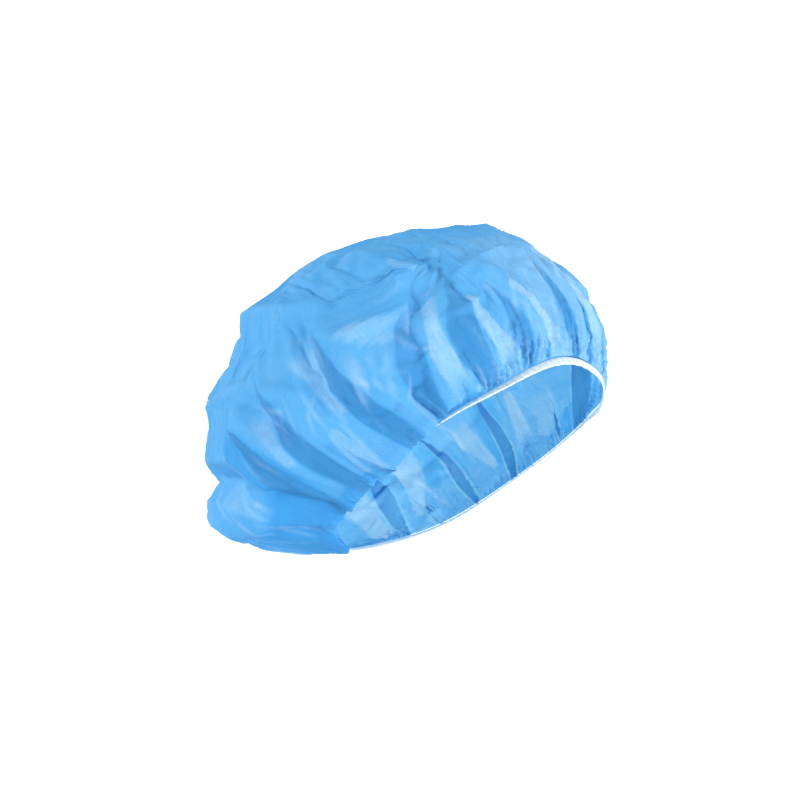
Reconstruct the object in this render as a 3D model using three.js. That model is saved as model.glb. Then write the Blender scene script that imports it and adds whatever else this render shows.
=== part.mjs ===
// Disposable bouffant hairnet: one round of blue nonwoven cloth gathered on a white elastic band,
// in the form that it takes on a head. Millimetres, +Z up, +X to the forehead, +Y to the wearer's left.
// The origin is the middle of the head opening.
// Turn is the angle round the rim in degrees: 0 at the forehead, 90 at the left ear, 180 at the nape.
// Rise is the share of the way up the cloth, from the rim (0) to the pole of the crown (1).
import * as THREE from "three";

// Driving dimensions
const CLOTH_WALL = 1.0;
const RIM_HALF_RUN = 88; // half of the opening's length, measured level
const RIM_HALF_RISE = 52; // height of the forehead's rim above the origin, and of the nape's below it
const RIM_HALF_WIDTH = 86;
const BAG_CENTRE = new THREE.Vector3(-36, 0, 56);
const BAG_HALF_WIDTH = 108;
const POLE_TILT = 35; // lean of the pole, back from the vertical, in degrees
const TUCK_START = 0.8; // share of the way from pole to rim where the cloth starts to turn in
const GATHER_COUNT = 30;
const GATHER_HEIGHT = 1.6;
const GATHER_END = 0.3; // rise at which the gathers have run out
const EDGE_HOLD = 0.05; // rise up to which the band holds the cloth in line
const BAND_WIDTH = 6;
const BAND_THICKNESS = 1.2;
const BAND_GAP = 0.5;

// Mesh steps
const TURN_STEPS = 90;
const RISE_STEPS = 23;
const BAND_STEPS = 96;
const SMALL_TURN = 1; // steps for taking slopes
const SMALL_RISE = 0.01;

// Side outline of the filled bag: reach from its centre at each clock angle, 0 forwards and 90 up.
const SIDE_OUTLINE = [
  { clock: 0, reach: 138 },
  { clock: 30, reach: 131 },
  { clock: 60, reach: 115 },
  { clock: 90, reach: 102 },
  { clock: 120, reach: 97 },
  { clock: 150, reach: 106 },
  { clock: 180, reach: 116 },
  { clock: 210, reach: 146 },
  { clock: 240, reach: 149 },
  { clock: 270, reach: 112 },
  { clock: 300, reach: 106 },
  { clock: 330, reach: 120 },
];

// How far the rim lifts off its tilted plane.
const RIM_LIFT = [
  { turn: 0, lift: 0 },
  { turn: 30, lift: 9 },
  { turn: 60, lift: 9 },
  { turn: 90, lift: 5 },
  { turn: 120, lift: 4 },
  { turn: 150, lift: 1 },
  { turn: 180, lift: 0 },
  { turn: 210, lift: 3 },
  { turn: 240, lift: 8 },
  { turn: 270, lift: 12 },
  { turn: 300, lift: 17 },
  { turn: 330, lift: 8 },
];

// Main folds, each through three points of turn and rise. Half is half of the fold's width.
// A ridge has a positive height, a dent a negative one.
const FOLDS = [
  { name: "top ridge", turns: [262, 265, 271], rises: [0.58, 0.48, 0.36], half: 15, height: 5 },
  { name: "side dent", turns: [268, 262, 253], rises: [0.34, 0.28, 0.1], half: 13, height: -6 },
  { name: "side ridge", turns: [264, 262, 258], rises: [0.42, 0.32, 0.24], half: 9, height: 4 },
  { name: "side panel edge", turns: [240, 248, 256], rises: [0.34, 0.31, 0.3], half: 13, height: 4 },
  { name: "diagonal dent", turns: [233, 237, 242], rises: [0.42, 0.22, 0.06], half: 13, height: -6 },
  { name: "diagonal ridge", turns: [246, 244, 246], rises: [0.28, 0.18, 0.06], half: 10, height: 5 },
  { name: "back corner", turns: [205, 218, 232], rises: [0.56, 0.52, 0.46], half: 16, height: 6 },
  { name: "back dent", turns: [211, 218, 219], rises: [0.33, 0.22, 0.06], half: 12, height: -6 },
  { name: "back panel", turns: [206, 212, 214], rises: [0.3, 0.2, 0.12], half: 14, height: 4 },
  { name: "nape crease, right", turns: [180, 195, 204], rises: [0.26, 0.2, 0.06], half: 16, height: -13 },
  { name: "nape crease, left", turns: [180, 167, 158], rises: [0.26, 0.2, 0.06], half: 16, height: -11 },
  { name: "nape pouch", turns: [169, 182, 196], rises: [0.13, 0.14, 0.09], half: 20, height: 7 },
  { name: "right temple ridge", turns: [270, 271, 272], rises: [0.3, 0.18, 0.06], half: 10, height: 4 },
  { name: "right temple dent", turns: [279, 280, 280], rises: [0.24, 0.14, 0.05], half: 9, height: -4 },
  { name: "right brow ridge", turns: [288, 290, 291], rises: [0.26, 0.16, 0.05], half: 11, height: 4 },
  { name: "right brow dent", turns: [300, 301, 301], rises: [0.2, 0.12, 0.05], half: 9, height: -4 },
  { name: "forehead ridge", turns: [312, 316, 318], rises: [0.3, 0.18, 0.06], half: 11, height: 4 },
  { name: "forehead dent", turns: [10, 4, 352], rises: [0.46, 0.26, 0.08], half: 13, height: -5 },
  { name: "flat of the top", turns: [275, 290, 310], rises: [0.66, 0.62, 0.52], half: 26, height: -5 },
  { name: "left top dent", turns: [112, 100, 84], rises: [0.62, 0.46, 0.34], half: 17, height: -7 },
  { name: "left panel ridge", turns: [128, 118, 106], rises: [0.44, 0.32, 0.2], half: 15, height: 5 },
  { name: "left ear dent", turns: [96, 92, 90], rises: [0.26, 0.16, 0.05], half: 12, height: -5 },
  { name: "left temple ridge", turns: [66, 70, 72], rises: [0.4, 0.22, 0.06], half: 12, height: 5 },
  { name: "left brow dent", turns: [40, 46, 50], rises: [0.34, 0.2, 0.05], half: 12, height: -5 },
  { name: "left back dent", turns: [150, 142, 138], rises: [0.38, 0.24, 0.06], half: 13, height: -6 },
  { name: "back of the top", turns: [160, 182, 205], rises: [0.5, 0.44, 0.42], half: 20, height: -5 },
];

// Lie of the band's width round the rim: its angle above the level, taken outwards, so that -90 hangs
// straight down and -180 is turned flat under the opening.
const BAND_LIE = [
  { turn: 0, lean: -100 },
  { turn: 30, lean: -128 },
  { turn: 60, lean: -143 },
  { turn: 90, lean: -150 },
  { turn: 120, lean: -150 },
  { turn: 150, lean: -155 },
  { turn: 165, lean: -122 },
  { turn: 180, lean: -82 },
  { turn: 210, lean: -53 },
  { turn: 240, lean: -36 },
  { turn: 255, lean: -33 },
  { turn: 270, lean: -44 },
  { turn: 285, lean: -56 },
  { turn: 300, lean: -74 },
  { turn: 330, lean: -84 },
];

const { degToRad, radToDeg, euclideanModulo, smoothstep } = THREE.MathUtils;

// A closed curve through a table's rows, read at an angle in degrees.
function roundTable(rows, angleColumn, valueColumn) {
  const count = rows.length;
  const value = (k) => rows[euclideanModulo(k, count)][valueColumn];
  const place = (k) => rows[euclideanModulo(k, count)][angleColumn] + 360 * Math.floor(k / count);
  const slope = (k) => (value(k + 1) - value(k - 1)) / (place(k + 1) - place(k - 1));
  return (angle) => {
    const at = euclideanModulo(angle, 360);
    const i = rows.findLastIndex((row) => row[angleColumn] <= at);
    const span = place(i + 1) - place(i);
    const t = (at - place(i)) / span;
    const s = 1 - t;
    return (
      s * s * (1 + 2 * t) * value(i) +
      t * t * (1 + 2 * s) * value(i + 1) +
      s * t * span * (s * slope(i) - t * slope(i + 1))
    );
  };
}

const reachAt = roundTable(SIDE_OUTLINE, "clock", "reach");
const liftAt = roundTable(RIM_LIFT, "turn", "lift");
const leanAt = roundTable(BAND_LIE, "turn", "lean");

// The edge of the cloth.
function rimPoint(turn) {
  const run = Math.cos(degToRad(turn));
  const side = Math.sin(degToRad(turn));
  const height = RIM_HALF_RISE * run + liftAt(turn);
  return new THREE.Vector3(RIM_HALF_RUN * run, RIM_HALF_WIDTH * side, height);
}

// The filled bag as a unit sphere, and back.
function bagScale(p) {
  const reach = reachAt(radToDeg(Math.atan2(p.z, p.x)));
  return new THREE.Vector3(reach, BAG_HALF_WIDTH, reach);
}
function toSphere(point) {
  const p = point.clone().sub(BAG_CENTRE);
  return p.clone().divide(bagScale(p));
}
function fromSphere(q) {
  return q.clone().multiply(bagScale(q)).add(BAG_CENTRE);
}

const POLE = new THREE.Vector3(-Math.sin(degToRad(POLE_TILT)), 0, Math.cos(degToRad(POLE_TILT)));

// The filled bag without folds.
function bagPoint(turn, rise) {
  const rim = toSphere(rimPoint(turn));
  const size = rim.length();
  const end = rim.clone().normalize();
  const whole = Math.acos(POLE.dot(end));
  const direction = POLE.clone()
    .multiplyScalar(Math.sin(rise * whole))
    .addScaledVector(end, Math.sin((1 - rise) * whole))
    .normalize();
  const tuck = smoothstep(1 - rise, TUCK_START, 1);
  return fromSphere(direction.multiplyScalar(1 + (size - 1) * tuck));
}

// Outward normal of the filled bag.
function bagNormal(turn, rise) {
  const at = Math.min(rise, 1 - 2 * SMALL_RISE);
  const across = bagPoint(turn + SMALL_TURN, at).sub(bagPoint(turn - SMALL_TURN, at));
  const up = bagPoint(turn, at + SMALL_RISE).sub(bagPoint(turn, Math.max(at - SMALL_RISE, 0)));
  return across.cross(up).normalize();
}

// Each fold as two straight runs on the bag.
const foldRuns = FOLDS.map(({ turns, rises, half, height }) => {
  const [start, middle, end] = turns.map((turn, k) => bagPoint(turn, rises[k]));
  return { lines: [new THREE.Line3(start, middle), new THREE.Line3(middle, end)], half, height };
});

// The folded cloth's outer face.
function clothPoint(turn, rise) {
  const point = bagPoint(turn, rise);
  const nearest = new THREE.Vector3();
  const distance = (line) => line.closestPointToPoint(point, true, nearest).distanceTo(point);
  const shifts = foldRuns.map(({ lines, half, height }) => {
    return height * (1 - smoothstep(Math.min(...lines.map(distance)), 0, half));
  });
  const gather = 1 - smoothstep(rise, EDGE_HOLD, GATHER_END);
  const ripple = gather * GATHER_HEIGHT * Math.sin(degToRad(turn * GATHER_COUNT));
  const shift = Math.max(...shifts) + Math.min(...shifts) + ripple;
  return point.addScaledVector(bagNormal(turn, rise), shift * smoothstep(rise, 0, EDGE_HOLD));
}

// A closed body from a list of points and a list of faces with three or four corners.
function body(name, points, faces, material) {
  const geometry = new THREE.BufferGeometry();
  const flat = points.flatMap((p) => p.toArray());
  geometry.setAttribute("position", new THREE.Float32BufferAttribute(flat, 3));
  geometry.setIndex(faces.flatMap(([a, b, c, d]) => (d === undefined ? [a, b, c] : [a, b, c, a, c, d])));
  geometry.computeVertexNormals();
  const mesh = new THREE.Mesh(geometry, material);
  mesh.name = name;
  return mesh;
}

// The crown: an outer and an inner face of the cloth, joined along the rim.
function crown() {
  const outer = [];
  for (let j = 0; j < RISE_STEPS; j++) {
    for (let i = 0; i < TURN_STEPS; i++) {
      outer.push(clothPoint((i * 360) / TURN_STEPS, j / RISE_STEPS));
    }
  }
  outer.push(clothPoint(0, 1));
  const pole = outer.length - 1;
  const last = pole - TURN_STEPS;
  const faces = [];
  for (let i = 0; i < TURN_STEPS; i++) {
    const next = (i + 1) % TURN_STEPS;
    for (let low = 0; low < last; low += TURN_STEPS) {
      const high = low + TURN_STEPS;
      faces.push([low + i, low + next, high + next, high + i]);
    }
    faces.push([last + i, last + next, pole]);
  }
  const skin = body("skin", outer, faces);
  const normals = skin.geometry.getAttribute("normal");
  const inner = outer.map((p, k) => {
    const normal = new THREE.Vector3().fromBufferAttribute(normals, k);
    return p.clone().addScaledVector(normal, -CLOTH_WALL);
  });
  const lining = faces.map((face) => face.map((k) => k + outer.length).reverse());
  const edge = [];
  for (let i = 0; i < TURN_STEPS; i++) {
    const next = (i + 1) % TURN_STEPS;
    edge.push([i, outer.length + i, outer.length + next, next]);
  }
  const cloth = new THREE.MeshStandardMaterial({ color: 0x62b1f1, roughness: 0.85, metalness: 0 });
  return body("crown", [...outer, ...inner], [...faces, ...lining, ...edge], cloth);
}

// The elastic band: a flat strip that starts just clear of the cloth's edge.
function elasticBand() {
  const points = [];
  const faces = [];
  for (let i = 0; i < BAND_STEPS; i++) {
    const turn = (i * 360) / BAND_STEPS;
    const along = rimPoint(turn + SMALL_TURN).sub(rimPoint(turn - SMALL_TURN)).normalize();
    const outward = new THREE.Vector3(along.y, -along.x, 0).normalize();
    const up = along.clone().cross(outward).negate();
    const lean = degToRad(leanAt(turn));
    const width = outward.clone().multiplyScalar(Math.cos(lean)).addScaledVector(up, Math.sin(lean));
    const depth = along.clone().cross(width).multiplyScalar(BAND_THICKNESS / 2);
    const away = rimPoint(turn).sub(bagPoint(turn, SMALL_RISE)).normalize();
    const start = rimPoint(turn).addScaledVector(away, BAND_GAP + BAND_THICKNESS / 2);
    const end = start.clone().addScaledVector(width, BAND_WIDTH);
    points.push(start.clone().sub(depth), end.clone().sub(depth), end.add(depth), start.add(depth));
    const here = 4 * i;
    const next = 4 * ((i + 1) % BAND_STEPS);
    for (let k = 0; k < 4; k++) {
      const m = (k + 1) % 4;
      faces.push([here + k, here + m, next + m, next + k]);
    }
  }
  const elastic = new THREE.MeshStandardMaterial({ color: 0xf2f9fb, roughness: 0.7, metalness: 0 });
  return body("elastic_band", points, faces, elastic);
}

const group = new THREE.Group();
group.name = "disposable_hairnet";
group.add(crown(), elasticBand());

export default group;
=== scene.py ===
import math

import bpy
import numpy as np
from mathutils import Matrix, Vector


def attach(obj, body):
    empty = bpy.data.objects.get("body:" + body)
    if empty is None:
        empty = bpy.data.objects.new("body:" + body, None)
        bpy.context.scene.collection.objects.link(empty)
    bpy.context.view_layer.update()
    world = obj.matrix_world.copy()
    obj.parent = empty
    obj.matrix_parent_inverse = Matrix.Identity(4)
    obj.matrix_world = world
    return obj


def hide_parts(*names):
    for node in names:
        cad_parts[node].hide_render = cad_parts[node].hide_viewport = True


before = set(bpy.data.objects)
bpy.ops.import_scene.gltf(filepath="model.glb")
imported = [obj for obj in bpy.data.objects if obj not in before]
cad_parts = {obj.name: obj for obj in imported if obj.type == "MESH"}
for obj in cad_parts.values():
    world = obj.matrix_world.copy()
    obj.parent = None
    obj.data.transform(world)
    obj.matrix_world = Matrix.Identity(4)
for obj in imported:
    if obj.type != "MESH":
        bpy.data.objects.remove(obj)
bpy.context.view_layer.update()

# Disposable bouffant hairnet: +Z up, +X to the forehead, +Y to the wearer's left.
# Turn is the angle round the rim in degrees: 0 at the forehead, 90 at the left ear, 180 at the nape.
# Rise is the share of the way up the cloth, from the rim (0) to the pole of the crown (1).
MM = 0.001
SEED = 11

# Form of the filled bag. Lengths here and in the tables below are in millimetres.
RIM_HALF_RUN = 88
RIM_HALF_RISE = 52
RIM_HALF_WIDTH = 86
BAG_CENTRE = np.array([-36.0, 0.0, 56.0])
BAG_HALF_WIDTH = 108
POLE_TILT = 35
TUCK_START = 0.8
EDGE_HOLD = 0.05
POLE_RISE = 0.98  # the rings of points stop short of this rise
START_TURN = -15  # turn at which each ring of points begins

# Rows: clock angle in the side view, reach from the bag's centre
SIDE_OUTLINE = [
    (0, 138), (30, 131), (60, 115), (90, 102), (120, 97), (150, 106),
    (180, 116), (210, 146), (240, 149), (270, 112), (300, 106), (330, 120),
]
# Rows: turn, lift of the rim off its tilted plane
RIM_LIFT = [
    (0, 5), (15, 8), (30, 9), (60, 9), (90, 6), (120, 8), (150, 6),
    (180, 1), (210, 3), (240, 8), (270, 12), (300, 19), (330, 11),
]
# Rows: turn, angle of the band's width above the level, taken outwards
BAND_LIE = [
    (0, -100), (30, -128), (60, -143), (90, -150), (120, -150), (150, -155), (165, -122), (180, -82),
    (210, -53), (240, -36), (255, -33), (270, -42), (285, -51), (300, -64), (330, -80),
]

# Main folds. Rows: three turns, three rises, half width, height
FOLDS = [
    ((262, 265, 271), (0.58, 0.48, 0.36), 15, 5),  # top ridge
    ((268, 262, 253), (0.34, 0.28, 0.10), 13, -6),  # side dent
    ((264, 262, 258), (0.42, 0.32, 0.24), 9, 4),  # side ridge
    ((240, 248, 256), (0.34, 0.31, 0.30), 13, 4),  # side panel edge
    ((233, 237, 242), (0.42, 0.22, 0.06), 13, -6),  # diagonal dent
    ((246, 244, 246), (0.28, 0.18, 0.06), 10, 5),  # diagonal ridge
    ((196, 206, 232), (0.66, 0.60, 0.46), 22, 9),  # back corner
    ((190, 187, 184), (0.60, 0.53, 0.44), 18, 5),  # back edge
    ((208, 232, 248), (0.58, 0.43, 0.30), 12, 3),  # ridge from the back corner
    ((194, 217, 230), (0.42, 0.31, 0.24), 9, 3),  # level ridge at the back
    ((196, 197, 199), (0.115, 0.088, 0.045), 6, -4),  # nape swirl, upper
    ((193, 194, 198), (0.115, 0.080, 0.045), 5, 3),  # nape swirl, ridge
    ((188, 191, 198), (0.110, 0.075, 0.040), 7, -4),  # nape swirl, lower
    ((200, 202, 204), (0.130, 0.085, 0.040), 9, -7),  # nape swirl, middle
    ((209, 208, 207), (0.12, 0.07, 0.03), 5, 3),  # small folds over the right rim
    ((224, 223, 222), (0.12, 0.07, 0.03), 5, -4),
    ((230, 230, 229), (0.10, 0.06, 0.03), 4, 3),
    ((247, 246, 245), (0.13, 0.07, 0.03), 5, -4),
    ((252, 252, 251), (0.11, 0.06, 0.03), 4, 3),
    ((211, 218, 219), (0.33, 0.22, 0.06), 12, -6),  # back dent
    ((206, 212, 214), (0.30, 0.20, 0.12), 14, 4),  # back panel
    ((174, 192, 203), (0.305, 0.23, 0.06), 13, -11),  # nape crease, right
    ((174, 160, 148), (0.305, 0.29, 0.24), 13, -9),  # nape crease, left
    ((164, 172, 188), (0.225, 0.225, 0.13), 22, 9),  # nape pouch
    ((270, 271, 272), (0.30, 0.18, 0.06), 10, 4),  # right temple ridge
    ((279, 280, 280), (0.24, 0.14, 0.05), 9, -4),  # right temple dent
    ((288, 290, 291), (0.26, 0.16, 0.05), 11, 4),  # right brow ridge
    ((300, 301, 301), (0.20, 0.12, 0.05), 9, -4),  # right brow dent
    ((312, 316, 318), (0.30, 0.18, 0.06), 11, 4),  # forehead ridge
    ((10, 4, 352), (0.46, 0.26, 0.08), 13, -5),  # forehead dent
    ((275, 290, 310), (0.66, 0.62, 0.52), 26, -5),  # flat of the top
    ((112, 100, 84), (0.62, 0.46, 0.34), 17, -7),  # left top dent
    ((128, 118, 106), (0.44, 0.32, 0.20), 15, 5),  # left panel ridge
    ((96, 92, 90), (0.26, 0.16, 0.05), 12, -5),  # left ear dent
    ((66, 70, 72), (0.40, 0.22, 0.06), 12, 5),  # left temple ridge
    ((40, 46, 50), (0.34, 0.20, 0.05), 12, -5),  # left brow dent
    ((150, 142, 138), (0.38, 0.24, 0.06), 13, -6),  # left back dent
    ((318, 326, 332), (0.50, 0.43, 0.36), 16, 3),  # forehead edge of the top
    ((330, 337, 342), (0.24, 0.19, 0.15), 15, -3),  # flat over the brow
]

# Pleats pressed flat, three plies each. Rows: three turns, three rises, half width, which end lies on top
PLEATS = [
    ((352, 354, 357), (0.00, 0.10, 0.22), 4, 1),
    ((23, 20, 12), (0.00, 0.10, 0.26), 15, -1),
    ((36, 37, 36), (0.00, 0.06, 0.14), 2, 1),
    ((60, 59, 54), (0.00, 0.15, 0.32), 5, 1),
    ((76, 77, 80), (0.00, 0.16, 0.34), 4, -1),
    ((92, 92, 91), (0.00, 0.04, 0.10), 2, 1),
    ((107, 100, 95), (0.00, 0.14, 0.34), 6, 1),
    ((122, 121, 119), (0.00, 0.12, 0.26), 3, -1),
    ((138, 140, 144), (0.00, 0.16, 0.36), 4, 1),
    ((155, 156, 157), (0.00, 0.10, 0.24), 3, -1),
    ((203, 207, 200), (0.00, 0.15, 0.32), 9, 1),
    ((216, 219, 212), (0.00, 0.20, 0.38), 7, -1),
    ((229, 228, 228), (0.00, 0.05, 0.12), 3, 1),
    ((239, 242, 235), (0.00, 0.20, 0.40), 8, -1),
    ((250, 257, 268), (0.00, 0.20, 0.40), 7, 1),
    ((262, 262, 262), (0.00, 0.03, 0.07), 2, -1),
    ((272, 270, 280), (0.00, 0.18, 0.39), 9, 1),
    ((288, 285, 283), (0.00, 0.12, 0.26), 5, -1),
    ((296, 295, 294), (0.00, 0.04, 0.09), 2, 1),
    ((312, 309, 309), (0.00, 0.11, 0.28), 6, 1),
    ((323, 319, 316), (0.00, 0.08, 0.17), 4, -1),
    ((337, 337, 338), (0.00, 0.06, 0.15), 4, 1),
]

# Patches of painted light, where the light comes through single plies, and darker patches: bunched plies,
# and painted shade at the nape, over the pouch and along the rim where the cloth curls under.
# Rows: three turns, three rises, half width at the first and the last, share of the full tone
PAINTED_LIGHT_AND_SHADE_PATCHES = [
    ((249, 256, 262), (0.31, 0.28, 0.26), 6, 12, 0.5),
    ((266, 262, 263), (0.29, 0.16, 0.05), 3, 11, 0.8),
    ((275, 278, 282), (0.24, 0.13, 0.03), 4, 9, 0.9),
    ((290, 298, 302), (0.20, 0.10, 0.02), 4, 8, 0.9),
    ((325, 322, 332), (0.30, 0.17, 0.06), 8, 12, 1.0),
    ((246, 245, 241), (0.25, 0.18, 0.08), 5, 2, 0.9),
    ((213, 215, 215), (0.28, 0.22, 0.16), 9, 5, 0.6),
    ((186, 192, 194), (0.23, 0.18, 0.13), 9, 4, 0.4),
    ((232, 236, 238), (0.34, 0.27, 0.18), 13, 4, 0.6),
    ((230, 228, 225), (0.14, 0.08, 0.03), 4, 9, 0.5),
    ((85, 88, 94), (0.285, 0.20, 0.075), 15, 3, 0.75),
    ((102, 103, 110), (0.25, 0.19, 0.075), 12, 8, 0.7),
    ((69, 68, 66), (0.25, 0.19, 0.11), 9, 3, 0.7),
    ((47, 50, 51), (0.21, 0.15, 0.08), 4, 7, 0.7),
    ((39, 39, 42), (0.18, 0.12, 0.08), 12, 6, 0.4),
    # Painted shade: at the nape, over the pouch, and along the rim where the cloth curls under
    ((168, 184, 198), (0.13, 0.07, 0.05), 20, 26, -1.0),
    ((200, 206, 206), (0.27, 0.18, 0.06), 10, 14, -0.9),
    ((200, 212, 224), (0.05, 0.045, 0.04), 8, 6, -0.9),
    ((204, 199, 193), (0.035, 0.085, 0.14), 7, 13, -1.0),
    ((56, 60, 61), (0.26, 0.18, 0.10), 10, 7, -0.6),
    ((14, 16, 29), (0.10, 0.05, 0.05), 14, 12, -0.9),
    ((80, 82, 83), (0.27, 0.235, 0.16), 8, 4, -0.6),
    ((78, 77, 76), (0.22, 0.165, 0.09), 9, 6, -0.6),
    ((96, 99, 103), (0.27, 0.175, 0.08), 7, 9, -0.6),
    ((120, 124, 128), (0.30, 0.20, 0.06), 6, 12, 0.6),
    ((146, 148, 150), (0.34, 0.22, 0.08), 12, 5, 0.6),
    ((8, 6, 4), (0.34, 0.22, 0.08), 10, 6, 0.6),
]

# Cloth that sags over the band from the nape to the right ear. Rows: turn, share of the sag
SAG_SHARE = [
    (150, 0), (165, 0.5), (178, 1.5), (205, 1.5), (232, 1.35),
    (244, 1.0), (256, 0.45), (268, 0.22), (284, 0),
]
SAG = (6, -7, -9)
# Cloth that flops over the band at the nape. Rows: turn, share of the flop
FLOP_SHARE = [(150, 0), (166, 1), (180, 1), (194, 0)]
FLOP = (13, -5, -2)
SAG_PEAK = 0.04  # rise at which both are greatest
SAG_END = 0.13  # and where they end

# Creases that show as thin white lines, partly worn white and partly painted highlights. Rows: three turns,
# three rises
WHITE_CREASES = [
    ((270, 265, 272), (0.73, 0.45, 0.35)),
    ((262, 262, 260), (0.42, 0.28, 0.25)),
    ((272, 268, 268), (0.35, 0.32, 0.28)),
    ((182, 195, 192), (0.28, 0.15, 0.02)),
    ((210, 220, 220), (0.32, 0.25, 0.23)),
    ((255, 252, 248), (0.25, 0.20, 0.13)),
    ((255, 250, 248), (0.18, 0.12, 0.03)),
    ((312, 306, 312), (0.30, 0.20, 0.04)),
    ((322, 314, 319), (0.30, 0.20, 0.04)),
    ((295, 286, 286), (0.26, 0.17, 0.05)),
    ((278, 276, 277), (0.25, 0.15, 0.04)),
    ((246, 244, 239), (0.24, 0.18, 0.09)),
    ((234, 233, 230), (0.16, 0.11, 0.06)),
    ((72, 70, 71), (0.29, 0.23, 0.15)),
    ((90, 86, 84), (0.24, 0.17, 0.06)),
]
WHITE_CREASE_HALF = 2.0
WHITE_CREASE_SIZE = 1.2

# Crumpling of the cloth
CRUMPLE_STEPS = (27, 53, 105, 209)  # points along a side of the crumpled grid, stage by stage
CRUMPLE_PASSES = (400, 260, 160, 60)
CRUMPLE_NOISE = (2.5, 0.4, 0.08, 0.02)
SPARE_ROUND = 1.085  # length of the cloth round the bag, against the bag's own
SPARE_UP = 1.04  # and up it
SPARE_PATCHES = 0.6  # share by which the spare differs from place to place
SPARE_CELLS = (14, 7)
SPARE_LOST_ON_TOP = 0.6
TOP_RISES = (0.45, 0.75)  # from the side of the crown to its top
PIN_AT_RIM = 0.15  # share of the way back to the folded bag at each pass
PIN_ON_CROWN = 0.006
PIN_AT_NAPE = 0.1
PIN_RIM_END = 0.25
NAPE_TURN = 188
NAPE_REACH = (25, 45)
NAPE_RISES = (0.3, 0.4)
INSET = 1.5  # the crumpled wall keeps this far inside the outline
INSET_RISES = (0.05, 0.2)

# Short creases. Each is a sharp ridge or a dent, whitened along its edge, partly by wear and partly as a
# painted highlight.
CREASE_COUNT = 90
CREASE_HEIGHT = 0.55
CREASE_HALF = 2.4
CREASE_WIDTHS = (0.6, 1.5)
CREASE_SIZES = (0.4, 1)
CREASE_BEND = 0.25
CREASE_WHITENING = 0.65
CREASE_WHITE_REACH = (0.2, 2.4)
# Rows: lowest and highest rise, least and greatest length, spread of the slant
CREASES_BY_BAND = (0.03, 0.22, 0.05, 0.14, 4)
CREASES_ON_CROWN = (0.15, 0.55, 0.02, 0.08, 9)

# Small wrinkles. Rows: cells round the cloth, cells up it, height, rise at which they fade, seed
WRINKLES = [
    (34, 12, 0.38, 0.60, 19),
    (70, 12, 0.30, 0.50, 20),
    (130, 16, 0.30, 0.28, 21),
    (230, 22, 0.25, 0.14, 22),
]
WRINKLE_SLANT = 13
SLANT_CELLS = (17, 11)

# Rings of the sheet's mesh. Rows: first rise, rows of points, points round
RINGS = [
    (0.00, 68, 960),
    (0.46, 28, 480),
    (0.66, 20, 240),
    (0.82, 10, 120),
    (0.91, 7, 60),
    (POLE_RISE, 0, 0),
]
ROW_BIAS = 1.3  # the rows lie closer by the rim
LEAST_COLUMNS = 3  # from one edge of a pleat to the next
EVEN_RISES = (0.40, 0.46)  # above the pleats the points come to lie evenly
BULK_START = 0.008  # rise by which the small folds are full
BULK_END = 0.9  # rise above which they die out
SHARP_FOLD = 55  # the shading breaks at folds sharper than this

# Pleats on the finished sheet
LEAST_PLEAT = 1.0
PLEAT_HEIGHT = 0.4
PLEAT_ROUNDING = 0.6
PLEAT_RAMP = 6.0
PLY_EDGE = 0.4  # width over which a ply's tone ends
PLEAT_FOOT = 0.6  # share of the full width that a pleat has at the rim
PLEAT_FULL = 0.35  # share of its length at which it is full and its tone begins to fade
PLEAT_FADED = 0.9

# Puckers, the fine gathers above the band
PUCKER_COUNT = 146
PUCKER_HEIGHT = 1.2
PUCKER_END = 0.11
PUCKER_START = 0.006
PUCKER_FULL = 0.2  # share of its length up to which a pucker is full
PUCKER_SPREAD = 0.75  # share by which their lengths differ
PUCKER_SIZES = 0.5  # and their heights
PUCKER_SWAY = 1.2
PUCKER_CALM = 0.4  # share that they lose where the cloth sags
# Painted highlight: the puckers' crests are painted white over these turns
PAINTED_HIGHLIGHT_CRESTS = (235, 275)  # their crests are white from here to the forehead

# Colours of the cloth, linear: several plies and painted shade, one plain ply, one ply with painted light
# through it, a pleat with painted light through it, the white of worn creases, of frost and of painted
# highlights
DARK_PLIES_AND_PAINTED_SHADE = (0.055, 0.372, 0.72)
PLAIN_PLY = (0.124, 0.462, 0.775)
LIGHT_PLY = (0.39, 0.65, 0.825)
PLEAT_PLY = (0.33, 0.70, 0.885)
CREASE_WHITE = (0.62, 0.83, 0.95)

# Painted light and shade by place, with the turns over which the right side and the front begin or end
RIGHT_FROM = (150, 185)
RIGHT_TO = (335, 352)
FRONT_FROM = (275, 305)
LEFT_LIFT = 0.12  # the left side is lighter by this, with the light through it
# painted light: the front is lighter by this near the rim
FRONT_LIFT = 0.48
LIFT_RISES = (0.3, 0.5)
# pleats are painted lighter on the left, where the light comes through them, and darker for their plies on
# the right
LEFT_PLEAT_TONE = 0.5
RIGHT_PLEAT_TONE = -1.0
TONE_RANGE = 1.2
GRAIN_ON_TONE = 1.1
# the darkest tone is bunched plies and painted shade
GRAIN_ON_DARK = 0.25  # share of it on bunched plies

# Worn and frosted cloth, with the rises and turns over which the frost changes; the frost is partly painted
# light
WORN_AND_HIGHLIGHT_SHARE = 0.38
FROST_SHARE = 0.5
FROST_BY_BAND = 0.75
# frost on the patches of painted light, itself painted light
FROST_ON_LIGHT = 0.9
FROST_RISES = (0.02, 0.16)
NAPE_FROM = (140, 165)
NAPE_TO = (205, 225)
FROST_FRONT = (255, 285)
# painted shade: less frost at the nape; painted light: more frost at the front
NAPE_FROST_LOST = 0.7
FRONT_FROST_GAIN = 1.2
FROST_CELLS = (60, 12)
STREAK_STRETCH = 0.8  # length of the fine streaks up the cloth
STREAK_RANGE = (0.48, 0.72)
BOND_RELIEF = 0.6
THROUGH_CLOTH = 0.5  # share of the light that comes through

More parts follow.
